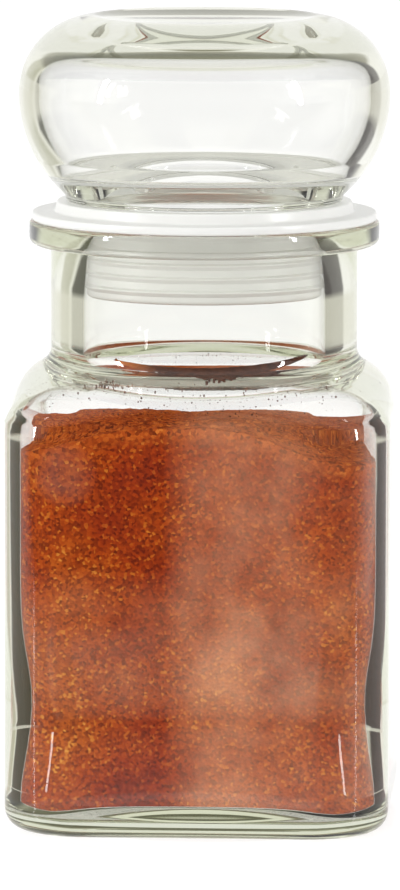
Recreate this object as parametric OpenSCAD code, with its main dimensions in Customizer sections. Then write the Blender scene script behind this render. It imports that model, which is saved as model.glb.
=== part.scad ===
// Square glass spice jar with a hollow glass stopper knob and a finned plastic seal.
// Millimetres, +Z up, origin at the middle of the footprint, front face towards -Y.

/* [Jar body] */
// Width of the square body across its flats
body_w = 51; // [47:0.5:56]
// Outside radius of the four upright corners
corner_r = 9; // [7:0.5:12]
// Radius of the rounded heel round the foot of the body
heel_r = 3.25; // [2:0.25:5]
// Height at which the walls start to curve in to the shoulder
shoulder_z = 54.8; // [44:0.2:70]
// Radius of the shoulder above the flats
shoulder_r = 7; // [6:0.25:9]
// Radius of the fillet between the shoulder and the neck
neck_fillet = 2.2; // [1:0.1:3]
// Wall thickness of the body near its top
wall = 1.9; // [1.6:0.1:2.8]
// Radius of the upright corners inside
inner_corner_r = 8; // [6:0.25:9]
// How much thicker the walls are where the glass has settled
belly = 1.1; // [0:0.1:2]
// Height of the thickest part of the walls
belly_z = 16; // [12:1:24]
// Glass under the inside corners
base_t = 2.3; // [2:0.1:4]
// Radius between the floor and the walls inside
floor_r = 2.25; // [1.5:0.25:4]
// Rise of the domed floor from the corners to the middle
floor_rise = 3.4; // [2:0.1:5]
// Radius of the hollow under the base
push_r = 17.5; // [12:0.5:19]
// Depth of the hollow under the base
push_depth = 1.6; // [0.8:0.1:2.2]

/* [Neck and rim] */
// Outside radius of the round neck
neck_r = 20.5; // [19:0.25:21.5]
// Radius of the mouth
mouth_r = 16.25; // [14.5:0.25:17]
// Length of the neck from the shoulder fillet to the rim
neck_len = 13.8; // [12:0.2:20]
// Radius of the rim
rim_r = 23.4; // [22.5:0.1:24.5]
// Height of the rim
rim_h = 3.2; // [2.4:0.1:5]
// Rounding of the rim's lower outer edge
rim_round_low = 1; // [0.4:0.1:1.2]
// Rounding of the rim's upper edges
rim_round_top = 0.5; // [0.3:0.1:0.8]

/* [Seal] */
// Radius of the seal's flange
flange_r = 23; // [22:0.1:24]
// Thickness of the flange
flange_t = 1.2; // [0.8:0.1:2]
// Radius of the raised seat that the knob stands on
seat_r = 19.9; // [19:0.1:20.5]
// Height of the raised seat above the flange
seat_h = 1.4; // [0.8:0.1:2]
// Length of the skirt below the flange
skirt_len = 9.8; // [9:0.1:11.5]
// Number of sealing fins round the skirt
fin_count = 5; // [3:1:6]
// Height of each fin at its root
fin_h = 0.9; // [0.5:0.1:1]
// How far the fins stand out from the skirt
fin_out = 0.45; // [0.3:0.05:0.7]
// Rounding of the skirt's lower edge
skirt_round = 0.6; // [0.3:0.1:0.8]
// Width of the lip that closes the sleeve under the shank
lip_w = 1.6; // [1:0.1:2.5]
// Thickness of that lip
lip_t = 1.2; // [0.8:0.1:1.5]
// How far the holding bead stands out inside the sleeve
bead_out = 0.3; // [0.2:0.05:0.4]

/* [Knob] */
// Largest radius of the knob
knob_r = 24.8; // [23:0.1:27]
// Height of that largest radius above the foot
knob_mid_h = 14.4; // [13:0.2:17]
// Radius of the knob's profile above its widest line
top_arc_r = 10.3; // [9:0.1:11.5]
// Radius of the knob's profile below its widest line
low_arc_r = 18; // [17:0.25:20]
// Depth of the shallow dish in the top
dish_depth = 1.1; // [0.4:0.1:1.6]
// Wall thickness at the widest line
knob_wall = 2.6; // [2:0.1:3.5]
// Glass over the hollow, measured at the middle of the dish
knob_roof = 3; // [2:0.1:4]
// Glass between the foot and the hollow
knob_floor = 4; // [3:0.1:5]
// Rounding of the hollow's upper corner
hollow_top_r = 5.5; // [4:0.25:6.5]
// Height of the short foot
foot_h = 0.8; // [0.5:0.1:1.2]
// Radius of the shank inside the seal
shank_r = 13.6; // [12:0.1:14]
// Wall thickness of the shank
shank_wall = 3; // [2:0.1:4]
// Rounding where the hollow runs down into the shank
throat_r = 1.8; // [1:0.1:2.5]
// Depth of the holding groove round the shank
groove_depth = 0.5; // [0.45:0.05:0.7]
// Height of the holding groove
groove_h = 1.6; // [1.2:0.1:2]
// Distance from the foot down to the middle of the groove
groove_drop = 5.5; // [4:0.1:7]

/* [Spice] */
// Height of the spice at the middle of the walls
fill_level = 51.5; // [20:0.1:52.5]
// Rise of the spice from the walls towards the middle
mound = 3.2; // [0:0.1:3.5]
// Drop of the spice from the left wall to the right one
lean = 3.2; // [0:0.1:4]
// Size of the uneven lumps on the spice
lump = 0.3; // [0:0.05:0.5]

/* [Clearances] */
// Gap between the spice and the glass
spice_gap = 0.1; // [0.05:0.01:0.2]
// Radial running gap between the fins and the mouth
fin_gap = 0.05; // [0.03:0.01:0.09]
// Radial running gap between the shank and its sleeve
sleeve_gap = 0.05; // [0.03:0.01:0.09]
// Gap between the end of the shank and the lip under it
end_gap = 0.3; // [0.1:0.05:0.5]

/* [Hidden] */

$fn = 64;
half = body_w / 2;

// Steps along one upright corner, and the half step that keeps the flats at full width
corner_steps = 9;
half_step = 45 / (corner_steps + 1);
heel_steps = 4;
shoulder_steps = 9;
wall_steps = 6;
floor_steps = 4;

// How far a cutting shape runs past the face that it cuts
over = 1;

// The shoulder arc runs until the neck fillet takes over
shoulder_end = acos((neck_r + neck_fillet + shoulder_r - half) / (shoulder_r + neck_fillet));
neck_root_w = half - shoulder_r * (1 - cos(shoulder_end));
neck_root_z = shoulder_z + shoulder_r * sin(shoulder_end);
neck_z = neck_root_z + neck_fillet * sin(shoulder_end);
rim_z = neck_z + neck_len;
mouth_z = rim_z + rim_h;

// The inside of the shoulder runs in to a small step at the mouth, a wall's thickness below the outside
mouth_step = 0.6;
inner_half = half - wall;
ceiling_w = mouth_r + mouth_step;
ceiling_rise = shoulder_r - wall;
ceiling_z = shoulder_z + ceiling_rise;

// The thick part of the walls fades out over this height, and the dome ends short of the corners
belly_fade = 8;
corner_reach = (inner_half - inner_corner_r) * sqrt(2) + inner_corner_r;
dome_short = 0.9;
dome_power = 8;
dome_reach = corner_reach - dome_short;

// Levels of the stopper
flange_top = mouth_z + flange_t;
seat_z = flange_top + seat_h;
skirt_end = mouth_z - skirt_len;
fin_r = mouth_r - fin_gap;
skirt_r = fin_r - fin_out;
sleeve_r = shank_r + sleeve_gap;
shank_end = skirt_end + lip_t + end_gap;
groove_z = seat_z - groove_drop;

// One level section: a square of half width w with corners of radius r
function section(w, r) = [
    for (q = [0:3]) for (i = [0:corner_steps])
        let (
            a = q * 90 + (2 * i + 1) * half_step,
            sx = (q == 0 || q == 3) ? 1 : -1,
            sy = (q < 2) ? 1 : -1,
            k = r / cos(half_step)
        )
        [sx * (w - r) + k * cos(a), sy * (w - r) + k * sin(a)]
];

function level_ring(w, r, z) = [for (p = section(w, r)) [p[0], p[1], z]];

// A closed shape through a list of rings, capped by a fan at each end
module loft(rings, bottom_z, top_z) {
    n = len(rings[0]);
    m = len(rings);
    points = [for (ring = rings) for (p = ring) p];
    sides = [
        for (k = [0:m - 2]) for (i = [0:n - 1])
            let (j = (i + 1) % n, a = k * n, b = (k + 1) * n)
            each [[a + i, b + i, b + j], [a + i, b + j, a + j]]
    ];
    bottom = [for (i = [0:n - 1]) [n * m, i, (i + 1) % n]];
    top = [for (i = [0:n - 1]) [n * m + 1, (m - 1) * n + (i + 1) % n, (m - 1) * n + i]];
    polyhedron(
        concat(points, [[0, 0, bottom_z], [0, 0, top_z]]),
        concat(sides, bottom, top)
    );
}

// Outside of the body, from the flat it stands on to the root of the neck
function outer_rings() = concat(
    [
        for (i = [0:heel_steps])
            let (t = 90 * i / heel_steps, in = heel_r * (1 - sin(t)))
            level_ring(half - in, corner_r - in, heel_r * (1 - cos(t)))
    ],
    [
        for (i = [0:shoulder_steps])
            let (
                u = i / shoulder_steps,
                t = shoulder_end * u,
                w = half - shoulder_r * (1 - cos(t)),
                r = corner_r + (neck_root_w - corner_r) * u
            )
            level_ring(w, r, shoulder_z + shoulder_r * sin(t))
    ]
);

// Inside half width of the body: the glass is thickest round belly_z
function inside_w(z) = inner_half - belly * exp(-pow((z - belly_z) / belly_fade, 2));

// The domed floor rises from the corners to the middle
function dome(x, y) = floor_rise * max(0, 1 - pow(norm([x, y]) / dome_reach, dome_power));

function floor_ring(w, r, z, part) = [
    for (p = section(w, r)) [p[0], p[1], z + part * dome(p[0], p[1])]
];

// Inside of the walls up to height top, standing off the glass by gap
function wall_rings(gap, top) =
    let (low = base_t + floor_r, w_low = inside_w(low) - gap, r_low = inner_corner_r - gap)
    concat(
        [
            for (i = [1:floor_steps])
                let (s = i / (floor_steps + 1), w = w_low - floor_r)
                floor_ring(w * s, r_low * s, base_t + gap, 1)
        ],
        [
            for (i = [0:floor_steps])
                let (t = 90 * i / floor_steps, in = floor_r * (1 - sin(t)))
                floor_ring(w_low - in, r_low - in * 0.5, base_t + gap + (floor_r - gap) * (1 - cos(t)),
                    1 - i / floor_steps)
        ],
        [
            for (i = [1:wall_steps])
                let (z = low + (top - low) * i / wall_steps)
                level_ring(inside_w(z) - gap, r_low, z)
        ]
    );

// Inside of the shoulder: a quarter of an oval from the wall to the step at the mouth
function ceiling_rings() = [
    for (i = [1:shoulder_steps])
        let (
            u = i / shoulder_steps,
            w = ceiling_w + (inner_half - ceiling_w) * cos(90 * u),
            r = inner_corner_r + (ceiling_w - inner_corner_r) * u
        )
        level_ring(w, r, shoulder_z + ceiling_rise * sin(90 * u))
];

module body_inside() {
    loft(concat(wall_rings(0, shoulder_z), ceiling_rings()), base_t + floor_rise, ceiling_z);
}

// How far the turned neck reaches down into the body's glass, and stays inside its top edge
root_depth = 2;
root_inset = 1.5;

// Round neck with its fillet and rim, drawn as one turned profile
module neck_profile() {
    difference() {
        union() {
            translate([0, neck_root_z - root_depth])
                square([neck_root_w - root_inset, mouth_z - neck_root_z + root_depth]);
            translate([0, neck_root_z]) square([neck_root_w, neck_z - neck_root_z]);
            translate([0, neck_root_z]) square([neck_r, mouth_z - neck_root_z]);
            translate([0, rim_z]) square([rim_r - rim_round_low, rim_h]);
            translate([0, rim_z + rim_round_low])
                square([rim_r - rim_round_top, rim_h - rim_round_low]);
            translate([0, rim_z + rim_round_low])
                square([rim_r, rim_h - rim_round_low - rim_round_top]);
            translate([rim_r - rim_round_low, rim_z + rim_round_low]) circle(rim_round_low);
            translate([rim_r - rim_round_top, mouth_z - rim_round_top]) circle(rim_round_top);
        }
        translate([neck_r + neck_fillet, neck_z]) circle(neck_fillet);
    }
}

// Blown glass body: square below, round neck and rim above, one open hollow through both
module jar_body() {
    color("honeydew")
    difference() {
        union() {
            loft(outer_rings(), 0, neck_root_z);
            rotate_extrude() neck_profile();
        }
        body_inside();
        translate([0, 0, ceiling_z - over])
            cylinder(r = mouth_r, h = mouth_z - ceiling_z + 2 * over);
        translate([0, 0, mouth_z - rim_round_top])
            cylinder(r1 = mouth_r, r2 = mouth_r + 2 * rim_round_top, h = 2 * rim_round_top);
        push_up();
    }
}

// Shallow hollow under the base, so that the jar stands on a ring
module push_up() {
    ball_r = (push_r * push_r + push_depth * push_depth) / (2 * push_depth);
    translate([0, 0, push_depth - ball_r]) sphere(ball_r);
}

// Swells round the top of the spice: how many, how high, and where each starts
swells = [[2, 1, 35], [3, 0.8, -70], [5, 0.6, 10]];
heap_shares = [1, 0.94, 0.8, 0.6, 0.4, 0.2];

// The poured heap falls away fastest into the corners, and its wall ends below the lowest of them
heap_power = 2;
heap_low = fill_level - mound * (pow(corner_reach / inner_half, heap_power) - 1) - lean / 2 - over;

function swell(a, i = 0) =
    i == len(swells) ? 0 : swells[i][1] * sin(swells[i][0] * a + swells[i][2]) + swell(a, i + 1);

// Uneven top of the spice at the share s of the way out to the wall, without lumps at the wall
function heap_z(p, a, s) =
    fill_level + mound * (1 - pow(norm(p) / inner_half, heap_power)) - lean * (p[0] / body_w)
    + 4 * s * (1 - s) * lump * swell(a);

function heap_ring(s) =
    let (w = inside_w(fill_level) - spice_gap, r = inner_corner_r - spice_gap)
    [
        for (p = section(w * s, r * s))
            [p[0], p[1], heap_z(p, atan2(p[1], p[0]), s)]
    ];

// Ground spice, settled against the glass with an uneven top
module spice_fill() {
    color("chocolate")
    loft(
        concat(
            wall_rings(spice_gap, heap_low),
            [for (s = heap_shares) heap_ring(s)]
        ),
        base_t + spice_gap + floor_rise,
        fill_level + mound
    );
}

// Half profile of one sealing fin, slanting up to a narrow flat tip
fin_slant = 0.1;
fin_tip = 0.2;
function fin(z) = [
    [skirt_r, z - fin_h / 2], [fin_r, z + fin_h * fin_slant],
    [fin_r, z + fin_h * (fin_slant + fin_tip)], [skirt_r, z + fin_h / 2]
];

// Broken edges and draft of the moulded seal, the room over its top fin, and its bead's half heights
soft_edge = 0.3;
draft = 0.15;
fin_room = 1.2;
bead_root = 0.6;
bead_flat = 0.2;

// Plastic seal: flange on the rim, raised seat for the knob, finned skirt in the mouth
module stopper_seal() {
    fin_top = mouth_z - fin_room;
    fin_low = skirt_end + skirt_round + fin_h;
    fins = [
        for (i = [0:fin_count - 1])
            each fin(fin_low + (fin_top - fin_low) * i / (fin_count - 1))
    ];
    low_edge = flange_r - soft_edge;
    seat_edge = seat_r - draft;
    bead_r = sleeve_r - bead_out;
    lip_r = sleeve_r - lip_w;
    lip_top = skirt_end + lip_t;
    outline = concat(
        [
            [lip_r, skirt_end], [skirt_r - skirt_round, skirt_end],
            [skirt_r, skirt_end + skirt_round]
        ],
        fins,
        [
            [skirt_r, mouth_z], [low_edge, mouth_z], [flange_r, mouth_z + soft_edge],
            [flange_r, flange_top - soft_edge], [low_edge, flange_top],
            [seat_r + soft_edge, flange_top], [seat_r, flange_top + soft_edge],
            [seat_edge, seat_z - soft_edge], [seat_edge - soft_edge, seat_z], [sleeve_r, seat_z],
            [sleeve_r, groove_z + bead_root], [bead_r, groove_z + bead_flat],
            [bead_r, groove_z - bead_flat], [sleeve_r, groove_z - bead_root],
            [sleeve_r, lip_top], [lip_r, lip_top]
        ]
    );
    color("whitesmoke") rotate_extrude() polygon(outline);
}

// Polished ends of the knob's shank and foot, and the steps along its longest curves
polish = 0.6;
foot_round = 0.35;
curve_steps = 12;

// Points along an arc from angle a0 to a1
function arc(cx, cz, r, a0, a1, steps) = [
    for (i = [0:steps]) let (a = a0 + (a1 - a0) * i / steps) [cx + r * cos(a), cz + r * sin(a)]
];

// Blown glass knob: dished top, short foot and hollow shank, turned about the jar's axis
module stopper_knob() {
    mid_z = seat_z + knob_mid_h;
    top_cx = knob_r - top_arc_r;
    low_cx = knob_r - low_arc_r;
    crest_z = mid_z + top_arc_r;
    dish_z = crest_z - dish_depth;
    foot_top = seat_z + foot_h;
    low_end = asin((foot_top - mid_z) / low_arc_r);
    foot_edge = low_cx + low_arc_r * cos(low_end);

    // The dish is an arc from the middle to the crest
    dish_r = (top_cx * top_cx + dish_depth * dish_depth) / (2 * dish_depth);
    dish_end = asin(top_cx / dish_r);

    // The hollow follows the outside at its own wall, roof and floor
    roof_z = dish_z - knob_roof;
    hollow_low_z = seat_z + knob_floor;
    hollow_r = knob_r - knob_wall;
    hollow_arc_r = low_arc_r - knob_wall;
    hollow_cx = hollow_r - hollow_arc_r;
    side_end = asin((hollow_low_z + throat_r - mid_z) / hollow_arc_r);
    side_foot = hollow_cx + hollow_arc_r * cos(side_end);
    top_corner_z = roof_z - hollow_top_r;
    bore_r = shank_r - shank_wall;

    groove_low = groove_z - groove_h / 2;
    groove_top = groove_z + groove_h / 2;
    groove_r = shank_r - groove_depth;
    outside = concat(
        [
            [bore_r + polish, shank_end], [shank_r - polish, shank_end],
            [shank_r, shank_end + polish], [shank_r, groove_low],
            [groove_r, groove_low + groove_depth], [groove_r, groove_top - groove_depth],
            [shank_r, groove_top], [shank_r, seat_z],
            [foot_edge - 3 * foot_round, seat_z], [foot_edge - foot_round, seat_z + foot_round]
        ],
        arc(low_cx, mid_z, low_arc_r, low_end, 0, curve_steps),
        arc(top_cx, mid_z, top_arc_r, 90 / curve_steps, 90, curve_steps - 1),
        [
            for (i = [1:curve_steps])
                let (a = dish_end * (1 - i / curve_steps))
                [dish_r * sin(a), dish_z + dish_r * (1 - cos(a))]
        ]
    );
    inside = concat(
        [[0, roof_z]],
        arc(hollow_r - hollow_top_r, top_corner_z, hollow_top_r, 90, 0, curve_steps / 2),
        arc(hollow_cx, mid_z, hollow_arc_r, 0, side_end, curve_steps / 2),
        arc(side_foot - throat_r, hollow_low_z + throat_r, throat_r, side_end, -90, curve_steps / 3),
        arc(bore_r + throat_r, hollow_low_z - throat_r, throat_r, 90, 180, curve_steps / 3),
        [[bore_r, shank_end + polish]]
    );
    color("azure") rotate_extrude() polygon(concat(outside, inside));
}

jar_body();
spice_fill();
stopper_seal();
stopper_knob();
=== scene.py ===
import math
import random

import bmesh
import bpy
from mathutils import Matrix, Vector, noise


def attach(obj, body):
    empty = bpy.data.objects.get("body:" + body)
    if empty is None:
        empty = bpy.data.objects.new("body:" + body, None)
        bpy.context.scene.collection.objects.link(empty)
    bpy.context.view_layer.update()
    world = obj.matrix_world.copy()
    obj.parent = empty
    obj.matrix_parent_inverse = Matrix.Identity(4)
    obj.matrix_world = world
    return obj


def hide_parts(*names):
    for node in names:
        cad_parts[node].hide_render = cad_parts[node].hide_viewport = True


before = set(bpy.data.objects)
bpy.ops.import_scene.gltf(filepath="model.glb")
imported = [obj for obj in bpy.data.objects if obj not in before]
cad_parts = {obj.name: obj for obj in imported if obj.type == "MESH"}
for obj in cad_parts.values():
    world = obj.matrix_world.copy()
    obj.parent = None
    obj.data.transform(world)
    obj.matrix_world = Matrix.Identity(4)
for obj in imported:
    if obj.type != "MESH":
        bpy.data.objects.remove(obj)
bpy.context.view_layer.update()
bpy.ops.object.select_all(action="DESELECT")

# Camera
# A long lens 1.2 m from the jar, a little to the right of its front face and about
# seven degrees above it, as the photograph was taken. No shift and no blur.
mm = 0.001
turn, reach, height = math.radians(3.2), 1200 * mm, 200 * mm
swing, tip, roll = 0.00044, 0.12469, 0.002
bpy.ops.object.camera_add(location=(reach * math.sin(turn), -reach * math.cos(turn), height))
camera = bpy.context.object
camera.name = "camera"
look = Matrix.Rotation(turn + swing, 3, "Z") @ Matrix.Rotation(math.pi / 2 - tip, 3, "X")
camera.rotation_euler = (look @ Matrix.Rotation(roll, 3, "Z")).to_euler()
camera.data.sensor_fit = "AUTO"
camera.data.sensor_width = 36
camera.data.lens = 365.3
camera.data.clip_start = 0.01
camera.data.clip_end = 20
bpy.context.scene.camera = camera

# Studio
# A white room with a half-gloss white floor. The side of the room behind the camera is
# dark, and so are two screens far out on both sides, which the glass picks up by total
# reflection along its edges. The camera itself sees pure white behind the jar.
scene = bpy.context.scene
scene.view_settings.view_transform = "Standard"
scene.cycles.max_bounces = 32
scene.cycles.transmission_bounces = 28
scene.cycles.glossy_bounces = 24
scene.cycles.transparent_max_bounces = 24
scene.cycles.diffuse_bounces = 4
# Light is told apart by how often the glass has mirrored it and let it through
few_mirrors, one_mirror, thin_glass = 4.5, 1.5, 3.5


def node(tree, kind, inputs=(), **settings):
    made = tree.nodes.new("ShaderNode" + kind)
    for name, value in settings.items():
        setattr(made, name, value)
    for slot, value in dict(inputs).items():
        if isinstance(value, bpy.types.NodeSocket):
            tree.links.new(value, made.inputs[slot])
        else:
            made.inputs[slot].default_value = value
    return made


def combined(tree, how, first, second):
    return node(tree, "Math", {0: first, 1: second}, operation=how).outputs[0]


def eased(tree, value, low, high, to_low=0.0, to_high=1.0):
    limits = {"From Min": low, "From Max": high, "To Min": to_low, "To Max": to_high}
    return node(tree, "MapRange", {"Value": value, **limits}).outputs[0]


def tinted(tree, value, *stops):
    ramp = node(tree, "ValToRGB", {"Fac": value})
    elements = ramp.color_ramp.elements
    elements.remove(elements[-1])
    elements[0].position = stops[0][0]
    for place, *_ in stops[1:]:
        elements.new(place)
    for element, (_, *tone) in zip(elements, stops):
        element.color = (*(tone if len(tone) == 3 else tone * 3), 1)
    return ramp.outputs["Color"]


def blended(tree, mode, amount, first, second):
    mix = node(tree, "Mix", {"Factor": amount}, data_type="RGBA", blend_type=mode)
    for slot, value in ((6, first), (7, second)):
        if isinstance(value, bpy.types.NodeSocket):
            tree.links.new(value, mix.inputs[slot])
        else:
            mix.inputs[slot].default_value = (*value, 1)
    return mix.outputs[2]


def shaded_by(tree, amount, first, second):
    return node(tree, "MixShader", {0: amount, 1: first.outputs[0], 2: second.outputs[0]})


def less_often(tree, path, kind, limit):
    return combined(tree, "LESS_THAN", path.outputs[kind + " Depth"], limit)


def reflected_inside(tree, path):
    return combined(tree, "MINIMUM", path.outputs["Glossy Depth"], path.outputs["Transmission Depth"])


def screens(tree, place, narrow_when_near):
    flat = node(tree, "VectorMath", {0: place, 1: (1, 1, 0)}, operation="MULTIPLY").outputs[0]
    way = node(tree, "VectorMath", {0: flat}, operation="NORMALIZE").outputs[0]
    across = node(tree, "SeparateXYZ", {0: way}).outputs["X"]
    if narrow_when_near:
        far = node(tree, "VectorMath", {0: flat}, operation="LENGTH").outputs["Value"]
        across = combined(tree, "MULTIPLY", across, eased(tree, far, 0.08, 0.38, 0.80, 1.0))
    left_dark, left_edge = (0.035, 0.036, 0.012), (0.80, 0.80, 0.68)
    right_dark = (0.035, 0.026, 0.016)
    white = (0.95, 0.95, 0.88)
    return tinted(
        tree, eased(tree, across, -1.0, 1.0),
        (0.0, *left_dark), (0.145, 0.04, 0.04, 0.014), (0.170, *left_edge), (0.20, 0.46, 0.46, 0.33),
        (0.31, 0.52, 0.52, 0.38), (0.34, *white), (0.69, *white), (0.72, *right_dark),
        (0.93, 0.03, 0.022, 0.014), (0.95, 0.5, 0.5, 0.42), (1.0, 0.6, 0.6, 0.5),
    )


surround = bpy.data.worlds.new("white_surround")
scene.world = surround
surround.use_nodes = True
tree = surround.node_tree
tree.nodes.clear()
path = node(tree, "LightPath")
aim = node(tree, "TexCoord").outputs["Generated"]
split = node(tree, "SeparateXYZ", {0: aim})
upward = eased(tree, split.outputs["Z"], -1.0, 1.0)
away = eased(tree, split.outputs["Y"], -1.0, 1.0)
once = less_often(tree, path, "Glossy", one_mirror)
direct = combined(tree, "MULTIPLY", once, less_often(tree, path, "Transmission", thin_glass))
plain_dome = tinted(
    tree, upward, (0.0, 0.75, 0.75, 0.73), (0.48, 1), (0.70, 0.97, 0.97, 0.96), (1.0, 0.78, 0.78, 0.76),
)
inner_dome = tinted(
    tree, upward, (0.0, 0.35, 0.35, 0.27), (0.42, 1, 1, 0.97), (0.60, 0.96, 0.96, 0.91),
    (1.0, 0.90, 0.90, 0.84),
)
few = less_often(tree, path, "Glossy", few_mirrors)
inner_dome = blended(tree, "MULTIPLY", few, inner_dome, screens(tree, aim, False))
ceiling = tinted(
    tree, upward, (0.64, 1), (0.675, 0.26, 0.25, 0.16), (0.78, 0.10, 0.10, 0.06), (1.0, 0.3, 0.3, 0.2),
)
inner_dome = blended(tree, "MULTIPLY", direct, inner_dome, ceiling)
seen = blended(tree, "MIX", reflected_inside(tree, path), plain_dome, inner_dome)
behind_camera = tinted(tree, away, (0.0, 0.02), (0.10, 0.03), (0.28, 1))
seen = blended(tree, "MULTIPLY", path.outputs["Glossy Depth"], seen, behind_camera)
through = node(tree, "Background", {"Color": seen})
plain = node(tree, "Background", {"Color": (1, 1, 1, 1)})
by_side = tinted(tree, away, (0.0, 0.95), (0.35, 0.8), (0.7, 0.5), (1.0, 0.45))
by_height = tinted(tree, upward, (0.0, 0.9), (0.5, 1), (0.75, 1.1), (1.0, 0.9))
soft = node(tree, "Background", {"Color": blended(tree, "MULTIPLY", 1.0, by_side, by_height)})
to_object = shaded_by(tree, path.outputs["Is Diffuse Ray"], through, soft)
to_camera = shaded_by(tree, path.outputs["Is Camera Ray"], to_object, plain)
node(tree, "OutputWorld", {"Surface": to_camera.outputs[0]})

bpy.ops.mesh.primitive_plane_add(size=6, location=(0, 0, 0))
floor = bpy.context.object
floor.name = "floor"
white_floor = bpy.data.materials.new("white_half_gloss_floor")
white_floor.use_nodes = True
tree = white_floor.node_tree
tree.nodes.clear()
path = node(tree, "LightPath")
matt = node(tree, "BsdfDiffuse", {"Color": (0.5, 0.5, 0.5, 1)})
glow = node(tree, "Emission", {"Strength": 0.83})
lit = node(tree, "AddShader", {0: matt.outputs[0], 1: glow.outputs[0]})
sheen = node(tree, "BsdfGlossy", {"Roughness": 0.1})
top = shaded_by(tree, 0.2, lit, sheen)
dull = node(tree, "BsdfDiffuse", {"Color": (0.8, 0.8, 0.8, 1)})
spot = node(tree, "TexCoord").outputs["Object"]
# Painted light for what the glass mirrors from the floor: the floor glows with the screens painted on it,
# paler far out, and with a painted shadow round the jar's foot
few = less_often(tree, path, "Glossy", few_mirrors)
direct = combined(tree, "MULTIPLY", few, less_often(tree, path, "Transmission", thin_glass))
painted_screens = blended(tree, "MIX", few, (0.94, 0.94, 0.86), screens(tree, spot, True))
from_jar = node(tree, "VectorMath", {0: spot}, operation="LENGTH").outputs["Value"]
painted_screens = blended(tree, "MIX", eased(tree, from_jar, 0.42, 0.58, 0.0, 0.7), painted_screens, (0.74, 0.73, 0.60))
# Painted shadow: the glow is darker close round the jar
painted_foot_shadow = eased(tree, from_jar, 0.024, 0.042)
painted_foot_shadow = tinted(tree, painted_foot_shadow, (0.0, 0.14, 0.14, 0.08), (0.5, 0.35, 0.35, 0.26), (1.0, 1))
edges = node(tree, "Emission", {"Color": blended(tree, "MULTIPLY", direct, painted_screens, painted_foot_shadow)})
inner = combined(tree, "MINIMUM", reflected_inside(tree, path), 1.0)
by_glass = shaded_by(tree, inner, top, edges)
# Painted shade: shiny faces that mirror the floor between the jar and the camera see it glow near black
front = eased(tree, node(tree, "SeparateXYZ", {0: spot}).outputs["Y"], -0.03, -0.14)
mirrored = combined(tree, "MINIMUM", path.outputs["Glossy Depth"], 1.0)
painted_front_shade = node(tree, "Emission", {"Color": (0.02, 0.02, 0.02, 1)})
with_front = shaded_by(tree, combined(tree, "MULTIPLY", front, mirrored), by_glass, painted_front_shade)
choose = shaded_by(tree, path.outputs["Is Diffuse Ray"], with_front, dull)
node(tree, "OutputMaterial", {"Surface": choose.outputs[0]})
floor.data.materials.append(white_floor)

for name, side, power in (("soft_box_left", -1, 5.0), ("soft_box_right", 1, 3.5)):
    bpy.ops.object.light_add(type="AREA", location=(side * 0.85, -0.42, 0.30))
    lamp = bpy.context.object
    lamp.name = name
    lamp.data.shape = "RECTANGLE"
    lamp.data.size = 0.06
    lamp.data.size_y = 0.5
    lamp.data.energy = power
    lamp.rotation_euler = (Vector((0, 0, 0.05)) - lamp.location).to_track_quat("-Z", "Y").to_euler()

# Glass body
# Blown in a two-part mould from pale soda glass: a square body with rounded corners,
# a round neck and a thick rim. Outer and inner skins are drawn up ring by ring from a
# rounded square and meet at the mouth. The walls are thickest near the foot.
half, corner, heel, shoulder_z, shoulder_r = 25.5, 9.0, 3.25, 54.8, 7.0
fillet, neck_r, mouth_r, neck_len = 2.2, 20.5, 16.25, 13.8
rim_r, rim_h, low_round, top_round = 23.4, 3.2, 1.0, 0.5
wall, inner_corner, belly, belly_z, belly_fade, base_t = 1.9, 8.0, 1.1, 16.0, 8, 2.3
floor_round, floor_rise, floor_edge, floor_power = 2.25, 3.4, 0.9, 8
push_r, push_depth = 17.5, 1.6
hair = 0.01


def chosen_ring(piece):
    picked = [v.co for v in bmesh.from_edit_mesh(piece.data).verts if v.select]
    flat = [math.hypot(v.x, v.y) for v in picked]
    return picked[0].z, max(v.x for v in picked), max(flat), sum(flat) / len(flat)


def footprint(name, width, rounding, z):
    bpy.ops.mesh.primitive_plane_add(size=2 * width * mm, location=(0, 0, z * mm))
    piece = bpy.context.object
    piece.name = piece.data.name = name
    bpy.ops.object.transform_apply(location=True, rotation=True, scale=True)
    bpy.ops.object.mode_set(mode="EDIT")
    bpy.ops.mesh.select_all(action="SELECT")
    bpy.ops.mesh.bevel(affect="VERTICES", offset=rounding * mm, segments=16)
    bpy.ops.mesh.select_all(action="DESELECT")
    shape = bmesh.from_edit_mesh(piece.data)
    for edge in shape.edges:
        edge.select_set(edge.calc_length() > 2 * (width - rounding) * mm * 0.9)
    bmesh.update_edit_mesh(piece.data)
    bpy.ops.mesh.select_mode(type="EDGE")
    bpy.ops.mesh.subdivide(number_cuts=19)
    bpy.ops.mesh.select_mode(type="VERT")
    bpy.ops.mesh.select_all(action="SELECT")
    bpy.ops.mesh.delete(type="ONLY_FACE")
    bpy.ops.mesh.select_all(action="SELECT")
    return piece


def ring(piece, width, z, rounding=None):
    level = chosen_ring(piece)[0]
    bpy.ops.mesh.extrude_region_move(TRANSFORM_OT_translate={"value": (0, 0, z * mm - level)})
    level, side, far, middle = chosen_ring(piece)
    if rounding is not None and far - side > 1e-7:
        wanted = ((width - rounding) * math.sqrt(2) + rounding) / width
        pull = (far - wanted * side) / ((far - middle) - wanted * (side - middle))
        if abs(pull) > 1e-6:
            bpy.ops.transform.tosphere(value=min(1, max(0, pull)))
    size = width * mm / chosen_ring(piece)[1]
    bpy.ops.transform.resize(value=(size, size, 1), center_override=(0, 0, z * mm))


def pick_end(piece):
    bpy.ops.mesh.select_all(action="DESELECT")
    shape = bmesh.from_edit_mesh(piece.data)
    ends = [v for v in shape.verts if any(e.is_wire or e.is_boundary for e in v.link_edges)]
    z_end = min(v.co.z for v in ends)
    for v in ends:
        if abs(v.co.z - z_end) < 1e-6:
            v.select = True
    shape.select_flush(True)
    bmesh.update_edit_mesh(piece.data)


def close_end():
    bpy.ops.mesh.merge(type="CENTER")


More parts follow.
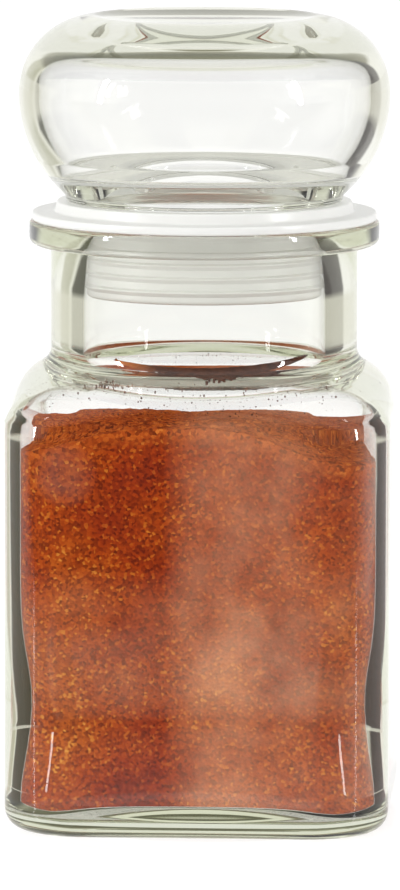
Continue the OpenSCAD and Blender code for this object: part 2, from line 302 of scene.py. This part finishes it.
shoulder_end = math.acos((neck_r + fillet + shoulder_r - half) / (shoulder_r + fillet))
root_w = half - shoulder_r * (1 - math.cos(shoulder_end))
root_z = shoulder_z + shoulder_r * math.sin(shoulder_end)
neck_z = root_z + fillet * math.sin(shoulder_end)
rim_z = neck_z + neck_len
mouth_z = rim_z + rim_h

jar = footprint("jar_glass", half, corner, heel)
for z in (8, 14, 20, 26, 32, 38, 44, 49, 53, shoulder_z):
    ring(jar, half, z)
for i in range(1, 17):
    share = i / 16
    t = shoulder_end * share
    w = half - shoulder_r * (1 - math.cos(t))
    ring(jar, w, shoulder_z + shoulder_r * math.sin(t), corner + (root_w - corner) * share)
for i in range(1, 8):
    t = shoulder_end * (1 - i / 7)
    w = neck_r + fillet * (1 - math.cos(t))
    ring(jar, w, neck_z - fillet * math.sin(t), w)
for z in (neck_z + 0.6, neck_z + 4, neck_z + 8, neck_z + 12, rim_z - 0.4, rim_z):
    ring(jar, neck_r, z)
ring(jar, rim_r - low_round, rim_z)
for i in range(1, 6):
    t = math.radians(18 * i)
    ring(jar, rim_r - low_round * (1 - math.sin(t)), rim_z + low_round * (1 - math.cos(t)))
for i in range(0, 5):
    t = math.radians(22.5 * i)
    ring(jar, rim_r - top_round * (1 - math.cos(t)), mouth_z - top_round * (1 - math.sin(t)))
ring(jar, mouth_r + top_round, mouth_z)
pick_end(jar)
for i in range(1, 8):
    t = math.radians(90 * (1 - i / 7))
    ring(jar, half - heel * (1 - math.sin(t)), heel * (1 - math.cos(t)))
ring(jar, push_r + 1.5, 0, push_r - 2)
ring(jar, push_r + 0.4, 0, push_r + 0.4)
for i in range(0, 8):
    r = push_r * (1 - i / 8) + hair
    ring(jar, r, push_depth * (1 - (r / push_r) ** 2))
close_end()
bpy.ops.object.mode_set(mode="OBJECT")

inside = half - wall
ceiling_w, ceiling_rise = mouth_r + 0.6, shoulder_r - wall
ceiling_z = shoulder_z + ceiling_rise
far_corner = (inside - inner_corner) * math.sqrt(2) + inner_corner


def wall_at(z):
    return inside - belly * math.exp(-(((z - belly_z) / belly_fade) ** 2))


def dome(x, y):
    return floor_rise * max(0, 1 - (math.hypot(x, y) / (far_corner - floor_edge)) ** floor_power)


low = base_t + floor_round
skin = footprint("inner_skin", wall_at(low), inner_corner, low)
for i in range(1, 21):
    z = low + (shoulder_z - low) * i / 20
    ring(skin, wall_at(z), z, inner_corner)
for i in range(1, 17):
    t = math.radians(90 * i / 16)
    w = ceiling_w + (inside - ceiling_w) * math.cos(t)
    rounding = inner_corner + (ceiling_w - inner_corner) * i / 16
    ring(skin, w, shoulder_z + ceiling_rise * math.sin(t), rounding)
for z in (ceiling_z + 0.5, ceiling_z + 2, ceiling_z + 10, mouth_z - 1):
    ring(skin, mouth_r, z)
pick_end(skin)
w_low = wall_at(low)
foot_w = w_low - floor_round
for i in range(1, 9):
    t = math.radians(90 * (1 - i / 8))
    w = w_low - floor_round * (1 - math.sin(t))
    ring(skin, w, base_t + floor_round * (1 - math.cos(t)))
for i in range(1, 13):
    ring(skin, foot_w * (1 - i / 12) + hair, base_t - 0.001 * i)
close_end()
bpy.ops.object.mode_set(mode="OBJECT")
# The inner floor and its rounded edge are lifted to a low dome
for v in skin.data.vertices:
    z = v.co.z / mm
    if z < low - hair:
        share = 1
        if z >= base_t + hair:
            share -= math.acos(max(-1, 1 - (z - base_t) / floor_round)) / math.radians(90)
        v.co.z = (max(z, base_t) + share * dome(v.co.x / mm, v.co.y / mm)) * mm

spice = skin.copy()
spice.data = skin.data.copy()
scene.collection.objects.link(spice)
bpy.ops.object.select_all(action="DESELECT")
skin.select_set(True)
jar.select_set(True)
bpy.context.view_layer.objects.active = jar
bpy.ops.object.join()
bpy.ops.object.mode_set(mode="EDIT")
bpy.ops.mesh.select_all(action="DESELECT")
bpy.ops.mesh.select_mode(type="EDGE")
bpy.ops.mesh.select_non_manifold()
bpy.ops.mesh.bridge_edge_loops()
bpy.ops.mesh.select_all(action="SELECT")
bpy.ops.mesh.remove_doubles(threshold=1e-6)
bpy.ops.mesh.normals_make_consistent(inside=False)
bpy.ops.object.mode_set(mode="OBJECT")
bpy.ops.object.shade_smooth_by_angle(angle=math.radians(40))


def clear_glass(name, tint, depth, waviness):
    glass = bpy.data.materials.new(name)
    glass.use_nodes = True
    tree = glass.node_tree
    tree.nodes.clear()
    spot = node(tree, "TexCoord").outputs["Object"]
    waves = node(tree, "TexNoise", {"Vector": spot, "Scale": 70.0, "Detail": 1.0}).outputs["Fac"]
    bump = node(tree, "Bump", {"Strength": waviness, "Distance": 0.0004, "Height": waves})
    body = node(tree, "BsdfPrincipled", {"Base Color": (1, 1, 1, 1), "Roughness": 0.0, "IOR": 1.5})
    body.inputs["Transmission Weight"].default_value = 1.0
    tree.links.new(bump.outputs["Normal"], body.inputs["Normal"])
    # Shadows pass straight through, and so does light that is trapped in a wall
    clear = node(tree, "BsdfTransparent", {"Color": (0.98, 0.98, 0.97, 1)})
    path = node(tree, "LightPath")
    either = combined(tree, "MAXIMUM", path.outputs["Is Shadow Ray"], path.outputs["Is Diffuse Ray"])
    trapped = combined(tree, "GREATER_THAN", path.outputs["Glossy Depth"], 6.5)
    let_out = combined(tree, "MAXIMUM", either, trapped)
    mix = shaded_by(tree, let_out, body, clear)
    tone = node(tree, "VolumeAbsorption", {"Color": tint, "Density": depth})
    node(tree, "OutputMaterial", {"Surface": mix.outputs[0], "Volume": tone.outputs[0]})
    return glass


jar.data.materials.append(clear_glass("pale_soda_glass", (0.70, 0.73, 0.56, 1), 20, 0.0))
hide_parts("jar_body")
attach(jar, "jar")

# Ground spice
# Loose reddish brown powder with pale and dark grains, settled against the glass. It
# takes the shape of the inner skin, a hair inside it, under an uneven top: a ridge in
# the middle that falls away to both sides and a little to the front and back.
crest, heap_foot, heap_low, to_glass, heap_rings = 55.9, 50.6, 45.0, 0.1, 48
ridge_x, ridge_left, ridge_right = -1, 19, 15
fall_ends, fall_back, swell_size = 1.2, 0.16, 0.8
spice.name = spice.data.name = "ground_spice"
bpy.ops.object.select_all(action="DESELECT")
spice.select_set(True)
bpy.context.view_layer.objects.active = spice
bpy.ops.object.mode_set(mode="EDIT")
bpy.ops.mesh.select_all(action="SELECT")
bpy.ops.mesh.bisect(plane_co=(0, 0, (heap_low - 1) * mm), plane_no=(0, 0, 1), clear_outer=True)
bpy.ops.mesh.select_all(action="SELECT")
bpy.ops.mesh.normals_make_consistent(inside=False)
bpy.ops.transform.shrink_fatten(value=-to_glass * mm)
bpy.ops.mesh.select_all(action="DESELECT")
bpy.ops.mesh.select_mode(type="EDGE")
bpy.ops.mesh.select_non_manifold()
bpy.ops.mesh.select_mode(type="VERT")
for i in range(0, heap_rings):
    rise = 0 if i else mm
    bpy.ops.mesh.extrude_region_move(TRANSFORM_OT_translate={"value": (0, 0, rise)})
    size = (heap_rings - i + 0.05) / (heap_rings - max(i, 1) + 1.05)
    bpy.ops.transform.resize(value=(size, size, 1), center_override=(0, 0, heap_low * mm))
close_end()
bpy.ops.mesh.select_all(action="SELECT")
bpy.ops.mesh.normals_make_consistent(inside=False)
bpy.ops.object.mode_set(mode="OBJECT")


def heap(x, y):
    s = max(abs(x), abs(y)) / inside
    a = math.atan2(y, x)
    swell = math.sin(2 * a + 0.6) + 0.8 * math.sin(3 * a - 1.2) + 0.6 * math.sin(5 * a + 0.2)
    ridge = math.exp(-((abs(x - ridge_x) / (ridge_left if x < ridge_x else ridge_right)) ** 3))
    fall = fall_ends * (y / inside) ** 2 + fall_back * max(0, y) * (x / inside) ** 2
    return heap_foot + (crest - heap_foot) * ridge - fall + swell_size * s * max(0, 1 - s) * swell


def in_heap(v):
    return v.co.z > (heap_low - 0.3) * mm


def roughen(piece, name, size, strength, **settings):
    texture = bpy.data.textures.new(name, "CLOUDS")
    texture.noise_scale = size * mm
    rough = piece.modifiers.new(name, "DISPLACE")
    rough.texture = texture
    rough.texture_coords = "LOCAL"
    rough.strength = strength * mm
    for setting, value in settings.items():
        setattr(rough, setting, value)
    bpy.ops.object.modifier_apply(modifier=name)


loose = [v for v in spice.data.vertices if in_heap(v)]
for v in loose:
    v.co.z = heap(v.co.x / mm, v.co.y / mm) * mm
below_top = spice.data.attributes.new("below_top", "FLOAT", "POINT")
for v in spice.data.vertices:
    below_top.data[v.index].value = max(0, heap(v.co.x / mm, v.co.y / mm) - v.co.z / mm)
top_group = spice.vertex_groups.new(name="top")
top_group.add([v.index for v in loose], 1.0, "REPLACE")
bpy.ops.object.mode_set(mode="EDIT")
bpy.ops.mesh.select_mode(type="FACE")
bpy.ops.mesh.select_all(action="DESELECT")
shape = bmesh.from_edit_mesh(spice.data)
for face in shape.faces:
    face.select = all(in_heap(v) for v in face.verts)
bmesh.update_edit_mesh(spice.data)
bpy.ops.mesh.subdivide(number_cuts=2)
bpy.ops.mesh.select_mode(type="VERT")
bpy.ops.object.mode_set(mode="OBJECT")
for name, size, strength in (("lumps", 2.2, 0.8), ("grains", 0.36, 0.55)):
    roughen(spice, name, size, strength, direction="Z", vertex_group="top")
bpy.ops.object.shade_smooth_by_angle(angle=math.radians(60))

powder = bpy.data.materials.new("ground_red_spice")
powder.use_nodes = True
tree = powder.node_tree
body = tree.nodes["Principled BSDF"]
spot = node(tree, "TexCoord").outputs["Object"]
split = node(tree, "SeparateXYZ", {0: spot})
# Deep red and orange patches, a few millimetres to a centimetre across
patches = node(tree, "TexNoise", {"Vector": spot, "Scale": 75.0, "Detail": 5.0, "Roughness": 0.6})
base = tinted(
    tree, patches.outputs["Fac"], (0.30, 0.20, 0.012, 0.001), (0.45, 0.275, 0.027, 0.001),
    (0.55, 0.335, 0.045, 0.002), (0.70, 0.40, 0.078, 0.006),
)
# Grains a third of a millimetre across, some dark and some pale
grain = node(tree, "TexVoronoi", {"Vector": spot, "Scale": 2700.0})
chance = node(tree, "SeparateColor", {0: grain.outputs["Color"]})
speck = tinted(
    tree, chance.outputs[0], (0.0, 0.45, 0.34, 0.3), (0.25, 0.75, 0.66, 0.6), (0.6, 1.05),
    (0.88, 1.3, 1.5, 1.6), (0.93, 1.5, 2.6, 4.0), (1.0, 1.7, 3.8, 8.0),
)
# Coarser grains in the top two millimetres, with a brighter orange there that is painted light from above
depth = node(tree, "Attribute", attribute_name="below_top").outputs["Fac"]
near_top = eased(tree, depth, 0.6, 2.2, 1.0, 0.0)
painted_top_light = combined(tree, "MULTIPLY", near_top, 0.7)
base = blended(tree, "MIX", painted_top_light, base, (0.43, 0.080, 0.008))
coarse = node(tree, "TexVoronoi", {"Vector": spot, "Scale": 2100.0})
chance = node(tree, "SeparateColor", {0: coarse.outputs["Color"]})
lumpy = tinted(
    tree, chance.outputs[0], (0.0, 0.35, 0.27, 0.2), (0.3, 0.8, 0.7, 0.6), (0.6, 1.05, 1.0, 1.0),
    (0.92, 1.3, 1.6, 1.8), (1.0, 1.6, 2.6, 4.0),
)
speck = blended(tree, "MIX", near_top, speck, lumpy)
base = blended(tree, "MULTIPLY", 1.0, base, speck)
# Painted reflection: a pale veil, as a soft box mirrored in the front glass, in a broad band right of the
# middle, and paler low zones
band = eased(tree, split.outputs["X"], -0.0255, 0.0255)
painted_reflection_band = tinted(
    tree, band, (0.0, 0.12), (0.10, 0.01), (0.42, 0.01), (0.52, 0.24), (0.72, 0.26), (0.84, 0.08),
    (1.0, 0.12),
)
level = eased(tree, split.outputs["Z"], 0.0, 0.055)
pale_low_zones = tinted(tree, level, (0.0, 0.03), (0.28, 0.02), (0.36, 0.13), (0.56, 0.10), (0.66, 0.0))
cloudy = node(tree, "TexNoise", {"Vector": spot, "Scale": 130.0, "Detail": 3.0}).outputs["Fac"]
cloudy = eased(tree, cloudy, 0.35, 0.65, 0.6, 1.3)
veil_and_pale_zones = blended(tree, "ADD", 1.0, painted_reflection_band, pale_low_zones)
veil_and_pale_zones = blended(tree, "MULTIPLY", 1.0, veil_and_pale_zones, cloudy)
base = blended(tree, "MIX", veil_and_pale_zones, base, (0.86, 0.46, 0.28))
# A greyish pale patch high on the left of the front
grey_patch_middle = (-0.017, -0.0235, 0.0485)
grey_patch = node(tree, "VectorMath", {0: spot, 1: grey_patch_middle}, operation="DISTANCE").outputs["Value"]
grey_patch = combined(tree, "MULTIPLY", eased(tree, grey_patch, 0.0015, 0.0045, 0.35, 0.0), cloudy)
base = blended(tree, "MIX", grey_patch, base, (0.30, 0.16, 0.13))
tree.links.new(base, body.inputs["Base Color"])
body.inputs["Roughness"].default_value = 0.95
body.inputs["Specular IOR Level"].default_value = 0.1
bump = node(tree, "Bump", {"Strength": 0.7, "Distance": 0.0002, "Height": grain.outputs["Distance"]})
tree.links.new(bump.outputs["Normal"], body.inputs["Normal"])
spice.data.materials.clear()
spice.data.materials.append(powder)
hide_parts("spice_fill")
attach(spice, "jar")

# Loose grains
# Single grains that cling to the inside of the shoulder, most of them at the front, and
# a small clump of them on its left. One grain is modelled and copied, and each copy sits
# a hair into the glass, as one that sticks to it does.
single_grains, clump_grains, sunk_share = 430, 46, 0.3
front_ways, other_ways, tilts, grain_sizes = (-155, -25), (-25, 205), (13, 32), (0.05, 0.15)
clump_way, clump_tilt, clump_sizes = (-120.5, 2.6), (22.5, 0.8), (0.08, 0.2)
bpy.ops.object.select_all(action="DESELECT")
bpy.ops.mesh.primitive_ico_sphere_add(subdivisions=1, radius=mm, location=(0, 0, 0))
seed_grain = bpy.context.object
bpy.ops.object.mode_set(mode="EDIT")
bpy.ops.mesh.select_all(action="SELECT")
bpy.ops.transform.vertex_random(offset=0.3 * mm, seed=5)
bpy.ops.object.mode_set(mode="OBJECT")
random.seed(11)
places = []
for i in range(single_grains):
    way = random.uniform(*(front_ways if i % 3 else other_ways))
    places.append((way, random.uniform(*tilts), random.uniform(*grain_sizes)))
for _ in range(clump_grains):
    places.append((random.gauss(*clump_way), random.gauss(*clump_tilt), random.uniform(*clump_sizes)))
bpy.context.view_layer.update()
centre = Vector((0, 0, 0.05))
grains = []
for way, tilt, size in places:
    way, tilt = math.radians(way), math.radians(tilt)
    ray = Vector((math.cos(tilt) * math.cos(way), math.cos(tilt) * math.sin(way), math.sin(tilt)))
    found, at, facing, _ = jar.ray_cast(centre, ray)
    if found and at.z < 0.066 and at.z > heap(at.x / mm, at.y / mm) * mm + 0.0006:
        grain = bpy.data.objects.new("grain", seed_grain.data.copy())
        grain.location = at + facing * sunk_share * size * mm
        grain.rotation_euler = [random.uniform(0, 6.28) for _ in range(3)]
        grain.scale = (size, size * random.uniform(0.6, 1), size * random.uniform(0.5, 1))
        scene.collection.objects.link(grain)
        grains.append(grain)
bpy.ops.object.select_all(action="DESELECT")
for grain in grains:
    grain.select_set(True)
clinging = grains[0]
bpy.context.view_layer.objects.active = clinging
bpy.ops.object.join()
bpy.ops.object.transform_apply(location=True, rotation=True, scale=True)
clinging.name = clinging.data.name = "clinging_grains"
bpy.data.objects.remove(seed_grain)

# Caked powder
# A crust of old powder stuck to the glass at the front of the neck's inner edge: a thin
# band on the neck's wall that runs out to a ragged tongue under the shoulder. It is
# lifted off the jar's own inner faces, sunk a hair into them and given a thickness.
crust_top, crust_foot, crust_level, crust_room = 61.5, 60.2, (61.0, 62.3, 62.8, 63.3), 63.8
tongue_x, tongue_len, tongue_w, crust_t, sunk = 2.6, 3.5, 4.3, 0.5, 0.16
cake = bpy.data.objects.new("caked_powder", jar.data.copy())
scene.collection.objects.link(cake)
bpy.ops.object.select_all(action="DESELECT")
cake.select_set(True)
bpy.context.view_layer.objects.active = cake


def near_neck_edge(x, y, z):
    return 57 < z < 67 and y < -7 and abs(x) < 15 and math.hypot(x, y) < 20.3


def upper_edge(x):
    return crust_top + 0.010 * x * x


def lower_edge(x):
    return crust_foot + 0.06 * max(0, abs(x - 1) - 5) ** 2


def caked(x, y, z):
    ragged = noise.noise(Vector((x, y, z)) * 1.7)
    if z > ceiling_z + 0.45:
        return lower_edge(x) < z < upper_edge(x)
    tongue = tongue_len * math.exp(-(((x - tongue_x) / tongue_w) ** 2))
    return math.hypot(x, y) - mouth_r < tongue * (1 + 0.5 * ragged) - 0.2


def keep_faces(wanted):
    bpy.ops.mesh.select_mode(type="FACE")
    bpy.ops.mesh.select_all(action="DESELECT")
    shape = bmesh.from_edit_mesh(cake.data)
    for face in shape.faces:
        face.select = not wanted(*(face.calc_center_median() / mm))
    bmesh.update_edit_mesh(cake.data)
    bpy.ops.mesh.delete(type="FACE")
    bpy.ops.mesh.select_all(action="SELECT")


bpy.ops.object.mode_set(mode="EDIT")
keep_faces(near_neck_edge)
bpy.ops.mesh.bisect(plane_co=(0, 0, crust_room * mm), plane_no=(0, 0, 1), clear_outer=True)
for level in crust_level:
    bpy.ops.mesh.select_all(action="SELECT")
    bpy.ops.mesh.bisect(plane_co=(0, 0, level * mm), plane_no=(0, 0, 1))
bpy.ops.mesh.select_all(action="SELECT")
bpy.ops.mesh.subdivide(number_cuts=3)
keep_faces(caked)
shape = bmesh.from_edit_mesh(cake.data)
for v in shape.verts:
    x, _, z = v.co / mm
    if v.is_boundary and z > ceiling_z + 0.6:
        v.co.z = min((upper_edge(x), lower_edge(x)), key=lambda level: abs(level - z)) * mm
bmesh.update_edit_mesh(cake.data)
bpy.ops.transform.shrink_fatten(value=-sunk * mm)
bpy.ops.mesh.select_mode(type="VERT")
bpy.ops.object.mode_set(mode="OBJECT")
thick = cake.modifiers.new("thick", "SOLIDIFY")
thick.thickness = crust_t * mm
thick.offset = 1
bpy.ops.object.modifier_apply(modifier="thick")
roughen(cake, "crumbs", 0.4, 0.22)
for piece, *tones in (
    (clinging, (0.3, 0.05, 0.012, 0.004), (0.7, 0.16, 0.04, 0.012)),
    # The crust is caked powder; its near-black brown, darker than the loose powder, is painted shade
    (cake, (0.3, 0.045, 0.014, 0.007), (0.7, 0.11, 0.035, 0.016)),
):
    crumbs = bpy.data.materials.new(piece.name + "_colour")
    crumbs.use_nodes = True
    tree = crumbs.node_tree
    body = tree.nodes["Principled BSDF"]
    spot = node(tree, "TexCoord").outputs["Object"]
    shade = node(tree, "TexNoise", {"Vector": spot, "Scale": 900.0}).outputs["Fac"]
    colour = tinted(tree, shade, *tones)
    if piece == cake:
        # The crust is orange at its left end
        left = eased(tree, node(tree, "SeparateXYZ", {0: spot}).outputs["X"], -0.0095, -0.005, 1.0, 0.0)
        colour = blended(tree, "MIX", left, colour, (0.50, 0.14, 0.02))
    tree.links.new(colour, body.inputs["Base Color"])
    body.inputs["Roughness"].default_value = 0.95
    piece.data.materials.clear()
    piece.data.materials.append(crumbs)
    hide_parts("spice_fill")
    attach(piece, "jar")

# Seal
# One moulding in milky polyethylene: a flange that lies on the rim, a raised seat that
# the knob stands on, and a skirt with five soft fins pressed into the mouth.
flange_r, flange_t, seat_r, seat_h, skirt_len = 23.0, 1.2, 19.9, 1.4, 9.8
fin_tip_r, skirt_r, sleeve_r, lip_w, lip_t = 16.2, 15.75, 13.65, 1.6, 1.2
fins, edge_r = 5, 0.3
flange_top = mouth_z + flange_t
seat_z = flange_top + seat_h
skirt_end = mouth_z - skirt_len
groove_z = seat_z - 5.5


def arc(cx, cz, r, first, last, steps):
    angles = [math.radians(first + (last - first) * i / steps) for i in range(steps + 1)]
    return [(cx + r * math.cos(a), cz + r * math.sin(a)) for a in angles]


def turned(name, outline, closed):
    def draw(r_next, z_next, r, z):
        bpy.ops.mesh.extrude_region_move(TRANSFORM_OT_translate={"value": (0, 0, (z_next - z) * mm)})
        size = r_next / r
        bpy.ops.transform.resize(value=(size, size, 1), center_override=(0, 0, z_next * mm))

    r, z = outline[0]
    bpy.ops.object.select_all(action="DESELECT")
    bpy.ops.mesh.primitive_circle_add(vertices=144, radius=r * mm, location=(0, 0, z * mm))
    piece = bpy.context.object
    piece.name = piece.data.name = name
    bpy.ops.object.transform_apply(location=True, rotation=True, scale=True)
    bpy.ops.object.mode_set(mode="EDIT")
    bpy.ops.mesh.select_all(action="SELECT")
    for r_next, z_next in outline[1:]:
        draw(r_next, z_next, r, z)
        r, z = r_next, z_next
    if closed == "ring":
        draw(*outline[0], r, z)
    else:
        close_end()
        bpy.ops.mesh.select_all(action="DESELECT")
        bpy.ops.mesh.select_mode(type="EDGE")
        bpy.ops.mesh.select_non_manifold()
        close_end()
        bpy.ops.mesh.select_mode(type="VERT")
    bpy.ops.mesh.select_all(action="SELECT")
    bpy.ops.mesh.remove_doubles(threshold=1e-6)
    bpy.ops.mesh.normals_make_consistent(inside=False)
    bpy.ops.object.mode_set(mode="OBJECT")
    bpy.ops.object.shade_smooth_by_angle(angle=math.radians(35))
    return piece


outline = [(sleeve_r - lip_w, skirt_end)] + arc(skirt_r - 0.6, skirt_end + 0.6, 0.6, -90, 0, 4)
first_fin, last_fin = skirt_end + 0.6 + 0.9, mouth_z - 1.2
for i in range(fins):
    z = first_fin + (last_fin - first_fin) * i / (fins - 1)
    outline += [(skirt_r, z - 0.45), (fin_tip_r, z + 0.09), (fin_tip_r, z + 0.27), (skirt_r, z + 0.45)]
outline += [(skirt_r, mouth_z + 0.01)]
outline += arc(flange_r - edge_r, mouth_z + 0.31, edge_r, -90, 0, 4)
outline += arc(flange_r - edge_r, flange_top - edge_r, edge_r, 0, 90, 4)
outline += arc(seat_r + edge_r, flange_top + edge_r, edge_r, -90, -180, 3)
outline += arc(seat_r - 0.45, seat_z - edge_r, edge_r, 0, 90, 4)
outline += [(sleeve_r, seat_z), (sleeve_r, groove_z + 0.6), (sleeve_r - 0.3, groove_z + 0.2)]
outline += [(sleeve_r - 0.3, groove_z - 0.2), (sleeve_r, groove_z - 0.6), (sleeve_r, skirt_end + lip_t)]
outline += [(sleeve_r - lip_w, skirt_end + lip_t)]
seal = turned("seal", outline, "ring")

milky = bpy.data.materials.new("milky_polyethylene")
milky.use_nodes = True
body = milky.node_tree.nodes["Principled BSDF"]
body.inputs["Base Color"].default_value = (0.93, 0.93, 0.905, 1)
body.inputs["Roughness"].default_value = 0.28
body.inputs["IOR"].default_value = 1.5
body.inputs["Transmission Weight"].default_value = 0.22
seal.data.materials.append(milky)
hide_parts("stopper_seal")
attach(seal, "seal")

# Knob
# Blown from clear glass and fire polished: a flattened ball with a shallow dish in its
# top, a hollow that follows its outside, a short foot on the seal's seat and a hollow
# shank down inside the seal.
knob_r, mid_h, top_arc, low_arc, dish = 24.8, 14.4, 10.3, 18.0, 1.1
knob_wall, knob_roof, knob_floor, hollow_round = 2.6, 3.0, 4.0, 5.5
foot_h, foot_round, shank_r, shank_wall, shank_round, throat = 0.8, 0.35, 13.6, 3.0, 0.6, 1.8
mid_z = seat_z + mid_h
dish_z = mid_z + top_arc - dish
low_end = math.degrees(math.asin((seat_z + foot_h - mid_z) / low_arc))
foot_edge = knob_r - low_arc * (1 - math.cos(math.radians(low_end)))
dish_r = ((knob_r - top_arc) ** 2 + dish ** 2) / (2 * dish)
dish_end = math.asin((knob_r - top_arc) / dish_r)
roof_z = dish_z - knob_roof
hollow_low = seat_z + knob_floor
hollow_r = knob_r - knob_wall
hollow_arc = low_arc - knob_wall
side_end = math.degrees(math.asin((hollow_low + throat - mid_z) / hollow_arc))
side_foot = hollow_r - hollow_arc * (1 - math.cos(math.radians(side_end)))
bore_r = shank_r - shank_wall
shank_end = skirt_end + lip_t + 0.3

outline = []
for i in range(1, 24):
    t = dish_end * i / 24
    outline.append((dish_r * math.sin(t), dish_z + dish_r * (1 - math.cos(t))))
outline += arc(knob_r - top_arc, mid_z, top_arc, 90, 4, 30)
outline += arc(knob_r - low_arc, mid_z, low_arc, 0, low_end, 28)
outline += [(foot_edge - 0.1, seat_z + 0.45)]
outline += arc(foot_edge - 0.45, seat_z + foot_round, foot_round, 0, -90, 4)
outline += [(shank_r, seat_z), (shank_r, groove_z + 0.8), (shank_r - 0.5, groove_z + 0.3)]
outline += [(shank_r - 0.5, groove_z - 0.3), (shank_r, groove_z - 0.8), (shank_r, shank_end + shank_round)]
outline += arc(shank_r - shank_round, shank_end + shank_round, shank_round, 0, -90, 4)[1:]
outline += arc(bore_r + shank_round, shank_end + shank_round, shank_round, -90, -180, 4)
outline += arc(bore_r + throat, hollow_low - throat, throat, 180, 90, 8)
outline += arc(side_foot - throat, hollow_low + throat, throat, -90, side_end, 6)
outline += arc(hollow_r - hollow_arc, mid_z, hollow_arc, side_end, 0, 20)[1:]
outline += arc(hollow_r - hollow_round, roof_z - hollow_round, hollow_round, 0, 90, 14)
outline += [(r, roof_z) for r in (15, 13, 10, 7, 4, 2, 0.6)]
knob = turned("knob_glass", outline, "poles")
knob.data.materials.append(clear_glass("clear_blown_glass", (0.74, 0.76, 0.66, 1), 16, 0.12))
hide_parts("stopper_knob")
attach(knob, "knob")

bpy.ops.object.select_all(action="DESELECT")
